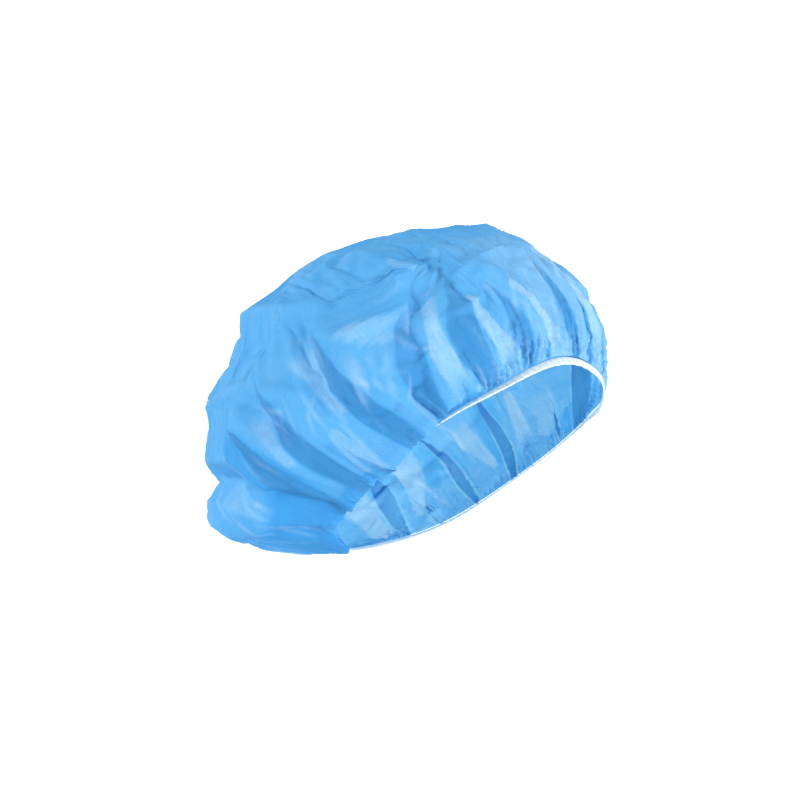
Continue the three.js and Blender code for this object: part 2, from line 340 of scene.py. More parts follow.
# Elastic band
BAND_WIDTH = 6.0
BAND_THICKNESS = 1.2
BAND_GAP = 0.5
BAND_STEPS = 1440
BAND_RIBS = 240
RIB_HEIGHT = 0.14
BAND_WAVE = 0.35  # how far the band's free edge waves with the gathers
BAND_GIRTH = 0.03  # as a share of its length
GRAIN_ON_BAND = 0.6
THROUGH_BAND = 0.45
# The band's white, painted darker in the ribs' grooves as shade
BAND_SHADE = (0.70, 0.79, 0.85)
BAND_WHITE = (0.86, 0.905, 0.925)

# Studio, in metres. The world is darker at the zenith and on the camera's side
FLOOR_SIZE = 12
FLOOR_HEIGHT = -1.6
WORLD_STRENGTH = 1.62
ZENITH_SHARE = 0.2
ZENITH_RANGE = (0.70, 1.0)
FRONT_SHARE = 0.31
FRONT_RANGE = (-0.3, 0.4)
LAMP_AIM = (-0.03, 0, 0.03)
# Rows: name, place, size, power
LAMPS = [
    ("key", (1.5, -1.0, 0.3), 0.6, 19),
    ("fill", (0.9, -0.95, -1.05), 1.0, 22),
    ("left", (-1.6, -0.9, 0.3), 0.9, 25),
]

# The photograph's view
IMAGE_SIZE = 800
VIEW_AZIMUTH = -8
VIEW_ELEVATION = -28
VIEW_DISTANCE = 1.8
PIXELS_PER_METRE = 1590  # at the origin's distance
ORIGIN_PIXEL = (467, 471)
SENSOR = 36.0


def round_table(rows):
    """A closed smooth curve through rows of (degrees, value)."""
    at = np.array([r[0] for r in rows], float)
    value = np.array([r[1] for r in rows], float)
    at = np.concatenate([at[-2:] - 360, at, at[:3] + 360])
    value = np.concatenate([value[-2:], value, value[:3]])
    slope = np.gradient(value, at)
    slope[1:-1] = (value[2:] - value[:-2]) / (at[2:] - at[:-2])

    def read(angle):
        x = np.mod(angle, 360)
        i = np.searchsorted(at, x, side="right") - 1
        span = at[i + 1] - at[i]
        t = (x - at[i]) / span
        s = 1 - t
        ends = s * s * (1 + 2 * t) * value[i] + t * t * (1 + 2 * s) * value[i + 1]
        return ends + s * t * span * (s * slope[i] - t * slope[i + 1])

    return read


reach_at = round_table(SIDE_OUTLINE)
lift_at = round_table(RIM_LIFT)
lean_at = round_table(BAND_LIE)


def smoothstep(x, low, high):
    t = np.clip((x - low) / (high - low), 0, 1)
    return t * t * (3 - 2 * t)


def unit(v):
    return v / np.maximum(np.linalg.norm(v, axis=-1, keepdims=True), 1e-9)


def rim_point(turn):
    run, side = np.cos(np.radians(turn)), np.sin(np.radians(turn))
    return np.stack([RIM_HALF_RUN * run, RIM_HALF_WIDTH * side, RIM_HALF_RISE * run + lift_at(turn)], -1)


def bag_scale(p):
    reach = reach_at(np.degrees(np.arctan2(p[..., 2], p[..., 0])))
    return np.stack([reach, np.full_like(reach, BAG_HALF_WIDTH), reach], -1)


def bag_point(turn, rise):
    """The filled bag without folds."""
    pole = np.array([-math.sin(math.radians(POLE_TILT)), 0, math.cos(math.radians(POLE_TILT))])
    rim = rim_point(turn) - BAG_CENTRE
    rim = rim / bag_scale(rim)
    size = np.linalg.norm(rim, axis=-1)
    end = unit(rim)
    whole = np.arccos(end @ pole)
    along = np.sin((1 - rise) * whole)[..., None] * end
    direction = unit(np.sin(rise * whole)[..., None] * pole + along)
    tuck = smoothstep(1 - rise, TUCK_START, 1)
    q = direction * (1 + (size - 1) * tuck)[..., None]
    return q * bag_scale(q) + BAG_CENTRE


def bag_normal(turn, rise):
    at = np.minimum(rise, POLE_RISE)
    across = bag_point(turn + 1, at) - bag_point(turn - 1, at)
    up = bag_point(turn, at + 0.01) - bag_point(turn, np.maximum(at - 0.01, 0))
    return unit(np.cross(across, up))


def to_line(points, turns, rises):
    """Distance of each point to a fold's two straight runs, and the share of the way along them."""
    a, b, c = bag_point(np.array(turns, float), np.array(rises, float))
    best = np.full(points.shape[:-1], 1e9)
    along = np.zeros(points.shape[:-1])
    for start, end, base in ((a, b, 0.0), (b, c, 0.5)):
        run = end - start
        t = np.clip((points - start) @ run / (run @ run), 0, 1)
        away = np.linalg.norm(points - start - t[..., None] * run, axis=-1)
        nearer = away < best
        best = np.where(nearer, away, best)
        along = np.where(nearer, base + t / 2, along)
    return best, along


def disc_grid(count):
    """Turn and rise of a square grid of points laid over the round cloth."""
    side = np.linspace(-1, 1, count)
    a, b = np.meshgrid(side, side, indexing="ij")
    wide = np.abs(a) > np.abs(b)
    radius = np.where(wide, a, b)
    safe = np.where(radius == 0, 1, radius)
    angle = np.where(wide, math.pi / 4 * b / safe, math.pi / 2 - math.pi / 4 * a / safe)
    x, y = radius * np.cos(angle), radius * np.sin(angle)
    return np.degrees(np.arctan2(y, x)), 1 - np.minimum(np.hypot(x, y), 1)


def folded_target(turn, rise):
    """The bag with its main folds, which the crumpled cloth keeps to."""
    point = bag_point(turn, rise)
    ridge = np.zeros(turn.shape)
    dent = np.zeros(turn.shape)
    for turns, rises, half, height in FOLDS:
        away, _ = to_line(point, turns, rises)
        shift = height * np.maximum(1 - away / half, 0)
        ridge = np.maximum(ridge, shift)
        dent = np.minimum(dent, shift)
    inset = INSET * smoothstep(rise, *INSET_RISES)
    hold = smoothstep(rise, 0, EDGE_HOLD)
    near_rim = smoothstep(rise, 0, SAG_PEAK) * (1 - smoothstep(rise, SAG_PEAK, SAG_END))
    shift = bag_normal(turn, rise) * ((ridge + dent) * hold - inset)[..., None]
    for rows, move in ((SAG_SHARE, SAG), (FLOP_SHARE, FLOP)):
        at, share = np.array(rows, float).T
        shift = shift + (np.interp(np.mod(turn, 360), at, share) * near_rim)[..., None] * np.array(move)
    return point + shift


# Neighbours in the grid between which the cloth keeps its length
STEPS = ((1, 0), (0, 1), (1, 1), (-1, 1))


def pairs(points, step):
    """Every point and its neighbour one step on."""
    di, dj = step
    n = points.shape[0]
    return points[max(0, -di) : n - max(0, di), : n - dj], points[max(0, di) : n - max(0, -di), dj:]


def rest_lengths(target, turn, rise):
    """Length of the cloth between neighbours: as on the bag, with spare in patches, less on top."""
    at = np.minimum(rise, POLE_RISE)
    patchy = 1 + SPARE_PATCHES * wrinkle_noise(turn, at, *SPARE_CELLS, SEED + 7)
    slack = patchy * (1 - SPARE_LOST_ON_TOP * smoothstep(rise, *TOP_RISES))
    circle = unit(bag_point(turn + 1, at) - bag_point(turn - 1, at))
    rests = []
    for step in STEPS:
        a, b = pairs(target, step)
        ca, cb = pairs(circle, step)
        delta = b - a
        length = np.linalg.norm(delta, axis=-1)
        share = ((delta / length[..., None] * unit(ca + cb)).sum(-1)) ** 2
        sa, sb = pairs(slack, step)
        spare = (sa + sb) / 2
        spare_round = 1 + (SPARE_ROUND - 1) * spare
        spare_up = 1 + (SPARE_UP - 1) * spare
        rests.append(length * np.sqrt(share * spare_round**2 + (1 - share) * spare_up**2))
    return rests


def square_place(turn, radius):
    """Place on the square grid, from -1 to 1 each way, of a point of the round cloth."""
    angle = np.mod(turn + 45, 360) - 45
    quarter = np.floor((angle + 45) / 90).astype(int)
    lean = (angle - 90 * quarter) / 45 * radius
    a = np.choose(quarter, [radius, -lean, -radius, lean])
    b = np.choose(quarter, [lean, radius, -lean, -radius])
    return a, b


def read_grid(grid, a, b):
    """Smooth reading of a grid's values at places from -1 to 1."""
    n = grid.shape[0]
    out = 0
    weights = []
    for place in (a, b):
        x = np.clip((place + 1) / 2 * (n - 1), 0, n - 1)
        low = np.minimum(x.astype(int), n - 2)
        t = x - low
        taps = (
            (low - 1, -0.5 * t + t**2 - 0.5 * t**3),
            (low, 1 - 2.5 * t**2 + 1.5 * t**3),
            (low + 1, 0.5 * t + 2 * t**2 - 1.5 * t**3),
            (low + 2, -0.5 * t**2 + 0.5 * t**3),
        )
        weights.append([(np.clip(i, 0, n - 1), w) for i, w in taps])
    for i, wi in weights[0]:
        for j, wj in weights[1]:
            out = out + grid[i, j] * (wi * wj)[..., None]
    return out


def crumpled_bag():
    """The bag's wall with a little spare cloth, which buckles it into folds, coarse ones first."""
    rng = np.random.default_rng(SEED)
    offset = None
    for count, passes, noise in zip(CRUMPLE_STEPS, CRUMPLE_PASSES, CRUMPLE_NOISE):
        turn, rise = disc_grid(count)
        target = folded_target(turn, rise)
        side = np.linspace(-1, 1, count)
        if offset is None:
            offset = np.zeros(target.shape)
        else:
            offset = read_grid(offset, *np.meshgrid(side, side, indexing="ij"))
        points = target + offset + bag_normal(turn, rise) * rng.normal(0, noise, turn.shape)[..., None]
        rests = rest_lengths(target, turn, rise)
        by_rim = 1 - smoothstep(rise, 0, PIN_RIM_END)
        pin = (PIN_ON_CROWN + (PIN_AT_RIM - PIN_ON_CROWN) * by_rim)[..., None]
        nape = 1 - smoothstep(np.abs(np.mod(turn, 360) - NAPE_TURN), *NAPE_REACH)
        pin = pin + (PIN_AT_NAPE * nape * (1 - smoothstep(rise, *NAPE_RISES)))[..., None]
        pin = np.where((rise < 1e-6)[..., None], 1, pin)
        i, j = np.indices(turn.shape)
        parity = {step: (i if step[0] else j) % 2 for step in STEPS}
        for _ in range(passes):
            points += pin * (target - points)
            for step, rest in zip(STEPS, rests):
                a, b = pairs(points, step)
                pa, _ = pairs(parity[step], step)
                for odd in (0, 1):
                    delta = b - a
                    length = np.sqrt((delta * delta).sum(-1)) + 1e-6
                    move = delta * (0.5 * (pa == odd) * (1 - rest / length))[..., None]
                    a += move
                    b -= move
        points[rise < 1e-6] = target[rise < 1e-6]
        offset = points - target
    return points


def grid_normals(points):
    across = np.gradient(points, axis=0)
    along = np.gradient(points, axis=1)
    return unit(np.cross(across, along))


def three_point(rise, rises, turns):
    """Smooth turn of a pleat's middle at a rise."""
    t = np.clip(rise / rises[2], 0, 1)
    m = rises[1] / rises[2]
    bow = (turns[1] - turns[0] - (turns[2] - turns[0]) * m) / (m * (1 - m))
    return turns[0] + (turns[2] - turns[0]) * t + bow * t * (1 - t)


def pleats_at(rise):
    """Every pleat as it is laid, the spare path that they take up, and the length of a degree.

    A pleat is its middle, half width, path of the first fold, end that lies on top and tone.
    """
    girth = np.interp(rise, RISES, GIRTHS) / 360
    laid = []
    spare = 0
    for turns, rises, half, side in PLEATS:
        t = np.clip(rise / rises[2], 0, 1)
        filled = PLEAT_FOOT + (1 - PLEAT_FOOT) * smoothstep(t, 0, PLEAT_FULL)
        width = half * filled * np.minimum(1, 2.0 * (1 - t)) / girth
        shown = 1 - smoothstep(t, PLEAT_FULL, PLEAT_FADED)
        back = 360 if turns[0] > 360 + START_TURN else 0
        middle = three_point(rise, rises, [x - back for x in turns])
        laid.append((middle, width, middle + width + spare, side, shown))
        spare = spare + 4 * width
    return laid, spare, girth


def sheet_paths(rises, count):
    """Path of every point round the sheet, row by row, with points along each edge of the pleats."""
    laid, spare, girth = pleats_at(rises)
    least = LEAST_PLEAT / girth
    marks = [np.full(rises.shape, float(START_TURN))]
    for _, width, first, _, _ in laid:
        w = np.maximum(width, least)
        at = first - width + w
        marks += [at - 2 * w, at, at + 2 * w, at + 4 * w]
    marks = np.maximum.accumulate(np.stack(marks + [360 + START_TURN + spare], 1), axis=1)
    middle_row = marks[len(rises) // 3]
    columns = (middle_row - START_TURN) / (middle_row[-1] - START_TURN) * count
    columns = np.round(columns).astype(int)
    for m in range(1, len(columns)):
        columns[m] = max(columns[m], columns[m - 1] + LEAST_COLUMNS)
    columns = np.minimum(columns, count - LEAST_COLUMNS * np.arange(len(columns))[::-1])
    along = np.arange(count)
    pleated_path = np.stack([np.interp(along, columns, row) for row in marks])
    even = START_TURN + along[None, :] / count * (360 + spare[:, None])
    share = smoothstep(rises, *EVEN_RISES)[:, None]
    return pleated_path * (1 - share) + even * share, spare


def pleated(path, rise):
    """Turn of each point of the sheet once the pleats are laid, its height over the wall, and its plies."""
    laid, _, girth = pleats_at(rise)
    rounding = PLEAT_ROUNDING / girth
    ramp = PLEAT_RAMP / girth
    edge = PLY_EDGE / girth
    turn = path.copy()
    for _, width, first, _, _ in laid:
        x = path - first
        turn -= np.hypot(x, rounding) - np.hypot(x - 2 * width, rounding) + 2 * width
    height = np.zeros(path.shape)
    plies = np.zeros(path.shape)
    for middle, width, first, side, shown in laid:
        share = np.clip((path - first) / np.maximum(2 * width, 1e-6), 0, 1)
        near = turn - middle
        full = PLEAT_HEIGHT * smoothstep(width * girth, 0, 3)
        before = smoothstep(near, -width - ramp, -width) * (path < first)
        after = (1 - smoothstep(near, width, width + ramp)) * (path > first)
        if side > 0:
            height += full * np.where(share <= 0, before, 1 - share)
        else:
            height += full * np.where(share >= 1, after, share)
        here = shown * smoothstep(width * girth, 0.2, 0.8)
        plies = np.maximum(plies, here * (1 - smoothstep(np.abs(near), width - edge, width + edge)))
    return turn, height, plies


def crease_lines():
    """Turns and rises of short creases: most fan up from the band, the rest lie anyhow over the crown."""
    rng = np.random.default_rng(SEED + 2)
    rows = []
    for k in range(CREASE_COUNT):
        turn = rng.uniform(0, 360)
        by_band = k % 5 < 4
        low, high, short, long, spread = CREASES_BY_BAND if by_band else CREASES_ON_CROWN
        rise = rng.uniform(low, high)
        length = rng.uniform(short, long)
        slant = rng.normal(0, spread)
        if not by_band:
            slant = slant / (1.05 - rise)
        bend = rng.normal(0, CREASE_BEND) * slant
        turns = (turn, turn + slant / 2 + bend, turn + slant)
        rises = (rise, rise + length / 2, rise + length)
        half = CREASE_HALF * rng.uniform(*CREASE_WIDTHS)
        size = rng.choice([-1, 1]) * rng.uniform(*CREASE_SIZES)
        rows.append((turns, rises, half, size))
    return rows


def creased(turn, rise):
    """Height of the short creases, and how far each point is whitened by them, partly by wear and partly as
    a painted highlight.
    """
    point = bag_point(turn, rise)
    height = np.zeros(turn.shape)
    white = np.zeros(turn.shape)
    charted = [(turns, rises, WHITE_CREASE_HALF, WHITE_CREASE_SIZE) for turns, rises in WHITE_CREASES]
    for turns, rises, half, size in crease_lines() + charted:
        away, along = to_line(point, turns, rises)
        fade = np.sin(math.pi * np.clip(along, 0, 1)) ** 0.7
        height += CREASE_HEIGHT * size * fade * np.maximum(1 - away / half, 0)
        near = 1 - smoothstep(away, *CREASE_WHITE_REACH)
        white = np.maximum(white, CREASE_WHITENING * abs(size) * fade * near)
    return height, white


def puckers(turn, rise):
    """Fine gathers above the band, each of its own length."""
    rng = np.random.default_rng(SEED + 1)
    table = rng.uniform(-1, 1, (3, PUCKER_COUNT))
    at = np.mod(turn, 360) / 360 * PUCKER_COUNT
    low = at.astype(int) % PUCKER_COUNT
    t = smoothstep(at - np.floor(at), 0, 1)
    size, length, phase = table[:, low] * (1 - t) + table[:, (low + 1) % PUCKER_COUNT] * t
    end = PUCKER_END * (1 + PUCKER_SPREAD * length)
    wave = np.cos(2 * math.pi * at + PUCKER_SWAY * phase)
    calm = 1 - PUCKER_CALM * np.interp(np.mod(turn, 360), *np.array(SAG_SHARE, float).T)
    wave = wave * calm * (1 - smoothstep(rise, PUCKER_FULL * end, end)) * smoothstep(rise, 0, PUCKER_START)
    return PUCKER_HEIGHT * (1 + PUCKER_SIZES * size) * wave


# Girth of the bag at each rise
RISES = np.linspace(0, POLE_RISE, 50)
hoops = bag_point(*np.meshgrid(np.arange(0, 360, 2.0), RISES))
GIRTHS = np.linalg.norm(hoops - np.roll(hoops, 1, axis=1), axis=-1).sum(1)


def wrinkle_noise(turn, rise, round_cells, up_cells, seed):
    """Smooth noise from -1 to 1, in cells round the cloth and up it."""
    rng = np.random.default_rng(seed)
    table = rng.uniform(-1, 1, (round_cells, up_cells + 2))
    x = np.mod(turn, 360) / 360 * round_cells
    y = np.clip(rise, 0, 1) * up_cells
    i, j = x.astype(int) % round_cells, y.astype(int)
    s, t = smoothstep(x - np.floor(x), 0, 1), smoothstep(y - j, 0, 1)
    k = (i + 1) % round_cells
    low = table[i, j] * (1 - s) + table[k, j] * s
    high = table[i, j + 1] * (1 - s) + table[k, j + 1] * s
    return low * (1 - t) + high * t


def wrinkles(turn, rise):
    """Small sharp wrinkles that run up the cloth, finest by the band."""
    slant = turn + WRINKLE_SLANT * wrinkle_noise(turn, rise, *SLANT_CELLS, SEED + 3)
    height = np.zeros(turn.shape)
    for round_cells, up_cells, size, fade, seed in WRINKLES:
        ridge = 1 - 2 * np.abs(wrinkle_noise(slant, rise, round_cells, up_cells, SEED + seed))
        height += size * ridge * (1 - smoothstep(rise, 0.5 * fade, 1.6 * fade))
    return height


def ring_faces(rows):
    """Faces between rings of points, rim to pole, where a ring may have half the points of the last."""
    faces = []
    start = 0
    for k, count in enumerate(rows):
        if k + 1 == len(rows):
            faces += [(start + j, start + (j + 1) % count, start + count) for j in range(count)]
            break
        upper = start + count
        if rows[k + 1] == count:
            for j in range(count):
                i = (j + 1) % count
                faces.append((start + j, start + i, upper + i, upper + j))
        else:
            half = rows[k + 1]
            for j in range(half):
                a, b, c = start + 2 * j, start + 2 * j + 1, start + (2 * j + 2) % count
                d, e = upper + j, upper + (j + 1) % half
                faces += [(a, b, d), (b, e, d), (b, c, e)]
        start = upper
    return faces


def sheet_rings():
    """Path, rise and flat turn of every point of the sheet, and the number of points in each ring."""
    paths, rises, flats, counts = [], [], [], []
    for (low, rows, count), (high, _, _) in zip(RINGS, RINGS[1:]):
        t = np.arange(rows) / rows
        rise = low + (high - low) * (t**ROW_BIAS if low == 0 else t)
        if low == 0:
            path, spare = sheet_paths(rise, count)
        else:
            path = np.tile(START_TURN + np.arange(count) / count * 360, (rows, 1))
            spare = np.zeros(rows)
        paths.append(path.reshape(-1))
        rises.append(np.repeat(rise, count))
        flats.append(((path - START_TURN) / (360 + spare[:, None])).reshape(-1))
        counts += [count] * rows
    path = np.concatenate(paths + [[0.0]])
    rise = np.concatenate(rises + [[1.0]])
    flat_turn = 2 * math.pi * np.concatenate(flats + [[0.0]])
    return path, rise, flat_turn, counts


def finished_sheet():
    """Mesh of the gathered sheet, with what its material needs to know of each point."""
    path, rise, flat_turn, counts = sheet_rings()
    turn, height, plies = pleated(path, rise)
    crease, white = creased(turn, rise)
    gathers = puckers(turn, rise)
    # Painted highlight on the crests of the puckers, on the right side and the front
    crest = np.clip(gathers / PUCKER_HEIGHT, 0, 1) ** 2
    white = np.maximum(white, crest * smoothstep(np.mod(turn, 360), *PAINTED_HIGHLIGHT_CRESTS))
    bag = crumpled_bag()
    a, b = square_place(turn, 1 - rise)
    points = read_grid(bag, a, b)
    outward = unit(read_grid(grid_normals(bag), a, b))
    fine = gathers + wrinkles(turn, rise)
    held = smoothstep(rise, 0, BULK_START) * (1 - smoothstep(rise, BULK_END, POLE_RISE))
    bulk = (height + crease + fine) * held
    around = [np.cos(flat_turn), np.sin(flat_turn)]
    flat = 0.5 + 0.5 * np.stack(around, -1) * (1 - rise)[:, None]
    mesh = new_mesh("crown_cloth", points + outward * bulk[:, None], ring_faces(counts))
    mesh.set_sharp_from_angle(angle=math.radians(SHARP_FOLD))
    set_attribute(mesh, "ply_and_painted_light_tone", ply_and_painted_light_tone(turn, rise, plies))
    set_attribute(mesh, "whitening_and_highlight", white)
    set_attribute(mesh, "lit_pleat", plies * (1 - right_share(turn)))
    set_attribute(mesh, "frost_and_painted_light", frosting_and_painted_light(turn, rise, plies))
    streak = np.stack([*around, STREAK_STRETCH * rise], -1)
    place = mesh.attributes.new("streak_place", "FLOAT_VECTOR", "POINT")
    place.data.foreach_set("vector", streak.reshape(-1).astype(np.float32))
    corner = np.zeros(len(mesh.loops), int)
    mesh.loops.foreach_get("vertex_index", corner)
    layer = mesh.uv_layers.new(name="flat_cloth")
    layer.uv.foreach_set("vector", flat[corner].reshape(-1).astype(np.float32))
    mesh.update()
    return mesh


def ply_and_painted_light_tone(turn, rise, plies):
    """Tone of the cloth, from -1 for bunched plies and painted shade to 1 for a single ply with painted
    light through it.
    """
    point = bag_point(turn, rise)
    light = np.zeros(turn.shape)
    dark_plies_and_painted_shade = np.zeros(turn.shape)
    for turns, rises, first, last, strength in PAINTED_LIGHT_AND_SHADE_PATCHES:
        away, along = to_line(point, turns, rises)
        width = first + (last - first) * along
        from_wide = along if first > last else 1 - along
        inside = 1 - smoothstep(away, 0.85 * width, width + PLY_EDGE)
        tone = strength * smoothstep(from_wide, -0.1, 0.3) * inside
        light = np.maximum(light, tone)
        dark_plies_and_painted_shade = np.minimum(dark_plies_and_painted_shade, tone)
    right = right_share(turn)
    front = smoothstep(np.mod(turn, 360), *FRONT_FROM) * right
    # Painted light: the left side, and more so the front, are lighter near the rim
    painted_lift = (LEFT_LIFT * (1 - right) + FRONT_LIFT * front) * (1 - smoothstep(rise, *LIFT_RISES))
    # Pleats: darker for their plies on the right and the back, painted lighter on the left where the light
    # comes through them
    pleat = LEFT_PLEAT_TONE + (RIGHT_PLEAT_TONE - LEFT_PLEAT_TONE) * right
    return (light + dark_plies_and_painted_shade + painted_lift) * (1 - plies) + plies * pleat


def right_share(turn):
    """1 on the right side and the back, 0 on the left side, where the light comes through all plies."""
    angle = np.mod(turn, 360)
    return smoothstep(angle, *RIGHT_FROM) * (1 - smoothstep(angle, *RIGHT_TO))


def frosting_and_painted_light(turn, rise, plies):
    """How far the cloth is frosted: by fine puckering by the band, less at the nape as painted shade and
    more at the front as painted light, and as painted light on the light plies.
    """
    angle = np.mod(turn, 360)
    by_band = 1 - smoothstep(rise, *FROST_RISES)
    nape = smoothstep(angle, *NAPE_FROM) * (1 - smoothstep(angle, *NAPE_TO))
    front = smoothstep(angle, *FROST_FRONT)
    by_band = by_band * (1 - NAPE_FROST_LOST * nape + FRONT_FROST_GAIN * front)
    light = np.maximum(ply_and_painted_light_tone(turn, rise, np.zeros(turn.shape)), 0) * (1 - plies)
    patchy = 0.5 + 0.5 * wrinkle_noise(turn, rise, *FROST_CELLS, SEED + 5)
    on_light = FROST_ON_LIGHT * light * (0.4 + 0.6 * patchy)
    return np.clip(FROST_BY_BAND * by_band * patchy + on_light, 0, 1)


def new_mesh(name, points, faces):
    """A mesh with smooth shading, from points in millimetres."""
    mesh = bpy.data.meshes.new(name)
    mesh.from_pydata((points * MM).tolist(), [], faces)
    mesh.polygons.foreach_set("use_smooth", np.ones(len(faces), bool))
    return mesh


def set_attribute(mesh, name, values):
    attribute = mesh.attributes.new(name, "FLOAT", "POINT")
    attribute.data.foreach_set("value", values.reshape(-1).astype(np.float32))


def add_node(tree, kind, place, **values):
    """A node with its plain properties and its sockets set."""
    node = tree.nodes.new(kind)
    node.location = place
    for key, value in values.items():
        if key in node.inputs.keys():
            node.inputs[key].default_value = value
        else:
            setattr(node, key, value)
    return node


def math_node(tree, place, operation, *values, **settings):
    """Output of a math node whose inputs are numbers or the outputs of other nodes."""
    node = add_node(tree, "ShaderNodeMath", place, operation=operation, **settings)
    for socket, value in zip(node.inputs, values):
        if isinstance(value, bpy.types.NodeSocket):
            tree.links.new(value, socket)
        else:
            socket.default_value = value
    return node.outputs[0]


def range_node(tree, place, source, target=(0.0, 1.0), kind="LINEAR"):
    """A node that maps one range of values to another."""
    node = add_node(tree, "ShaderNodeMapRange", place, interpolation_type=kind)
    for name, value in zip(("From Min", "From Max", "To Min", "To Max"), (*source, *target)):
        node.inputs[name].default_value = value
    return node


def cloth_grain(tree):
    """Fibres and clouds of the cloth, and its relief, which has the bond points as well."""
    flat = add_node(tree, "ShaderNodeUVMap", (-1200, 0), uv_map="flat_cloth")
    fibres = add_node(tree, "ShaderNodeTexNoise", (-900, -100), Scale=330.0, Detail=4.0, Roughness=0.7)
    cloud = add_node(tree, "ShaderNodeTexNoise", (-900, -400), Scale=26.0, Detail=5.0, Roughness=0.6)
    bonds = add_node(tree, "ShaderNodeTexVoronoi", (-900, -700), Scale=300.0, Randomness=0.25)
    for texture in (fibres, cloud, bonds):
        tree.links.new(flat.outputs["UV"], texture.inputs["Vector"])
    grain = math_node(tree, (-600, -100), "ADD", fibres.outputs["Fac"], cloud.outputs["Fac"])
    height = bonds.outputs["Distance"]
    relief = math_node(tree, (-300, -500), "MULTIPLY_ADD", height, BOND_RELIEF, grain)
    return grain, relief


def ply_colour(tree, grain):
    """Colour by the plies and the painted light and shade. Fibres and clouds move the tone a little, more
    so on the light plies and painted light.
    """
    link = tree.links.new
    ply = add_node(tree, "ShaderNodeAttribute", (-1200, 300), attribute_name="ply_and_painted_light_tone")
    lightness = range_node(tree, (-900, 300), (-1.0, 1.0), (GRAIN_ON_DARK, 1.0))
    link(ply.outputs["Fac"], lightness.inputs["Value"])
    level = math_node(tree, (-450, -100), "SUBTRACT", grain, 1.0)
    stirred = math_node(tree, (-300, 0), "MULTIPLY", level, lightness.outputs["Result"])
    tone = math_node(tree, (-150, 200), "MULTIPLY_ADD", stirred, GRAIN_ON_TONE, ply.outputs["Fac"])
    placed = range_node(tree, (0, 200), (-TONE_RANGE, TONE_RANGE))
    link(tone, placed.inputs["Value"])
    ramp = add_node(tree, "ShaderNodeValToRGB", (150, 200))
    stops = ramp.color_ramp.elements
    stops[0].color = (*DARK_PLIES_AND_PAINTED_SHADE, 1)
    stops[1].color = (*LIGHT_PLY, 1)
    stops.new(0.5).color = (*PLAIN_PLY, 1)
    link(placed.outputs["Result"], ramp.inputs["Fac"])
    pleat = add_node(tree, "ShaderNodeAttribute", (150, 400), attribute_name="lit_pleat")
    folded = add_node(tree, "ShaderNodeMix", (320, 250), data_type="RGBA")
    folded.inputs["B"].default_value = (*PLEAT_PLY, 1)
    link(pleat.outputs["Fac"], folded.inputs["Factor"])
    link(ramp.outputs["Color"], folded.inputs["A"])
    return folded.outputs["Result"]


def white_share(tree):
    """How far the cloth is whitened: along creases, partly by wear and partly as painted highlights, on the
    crests of puckers as painted highlights, and in fine streaks where it is frosted, which is partly
    painted light.
    """
    link = tree.links.new
    white = add_node(tree, "ShaderNodeAttribute", (-1200, 500), attribute_name="whitening_and_highlight")
    frost_and_painted_light = add_node(tree, "ShaderNodeAttribute", (-1200, 900), attribute_name="frost_and_painted_light")
    place = add_node(tree, "ShaderNodeAttribute", (-1200, 700), attribute_name="streak_place")
    streaks = add_node(tree, "ShaderNodeTexNoise", (-900, 700), Scale=190.0, Detail=5.0, Roughness=0.75)
    link(place.outputs["Vector"], streaks.inputs["Vector"])
    strong = range_node(tree, (-650, 700), STREAK_RANGE, kind="SMOOTHSTEP")
    link(streaks.outputs["Fac"], strong.inputs["Value"])
    frosted = math_node(tree, (-450, 700), "MULTIPLY", strong.outputs["Result"], frost_and_painted_light.outputs["Fac"])
    worn_and_highlight = math_node(tree, (150, 600), "MULTIPLY", white.outputs["Fac"], WORN_AND_HIGHLIGHT_SHARE)
    return math_node(tree, (300, 500), "MULTIPLY_ADD", frosted, FROST_SHARE, worn_and_highlight, use_clamp=True)


def cloth_material():
    """Thin bonded fibres that pass light, with a tone by the plies and by painted light and shade, and
    whitened creases with painted highlights.
    """
    material = bpy.data.materials.new("nonwoven_cloth")
    material.use_nodes = True
    tree = material.node_tree
    tree.nodes.clear()
    link = tree.links.new
    output = add_node(tree, "ShaderNodeOutputMaterial", (1200, 0))
    mix = add_node(tree, "ShaderNodeMixShader", (1000, 0), Fac=THROUGH_CLOTH)
    face = add_node(tree, "ShaderNodeBsdfPrincipled", (700, 200), Roughness=0.62)
    face.inputs["Specular IOR Level"].default_value = 0.25
    through = add_node(tree, "ShaderNodeBsdfTranslucent", (700, -200))
    grain, relief = cloth_grain(tree)
    colour = add_node(tree, "ShaderNodeMix", (450, 100), data_type="RGBA")
    colour.inputs["B"].default_value = (*CREASE_WHITE, 1)
    link(white_share(tree), colour.inputs["Factor"])
    link(ply_colour(tree, grain), colour.inputs["A"])
    link(colour.outputs["Result"], face.inputs["Base Color"])
    link(colour.outputs["Result"], through.inputs["Color"])
    bump = add_node(tree, "ShaderNodeBump", (300, -300), Strength=0.25, Distance=0.0004)
    link(relief, bump.inputs["Height"])
    for shader in (face, through):
        link(bump.outputs["Normal"], shader.inputs["Normal"])
    link(face.outputs["BSDF"], mix.inputs[1])
    link(through.outputs["BSDF"], mix.inputs[2])
    link(mix.outputs["Shader"], output.inputs["Surface"])
    return material


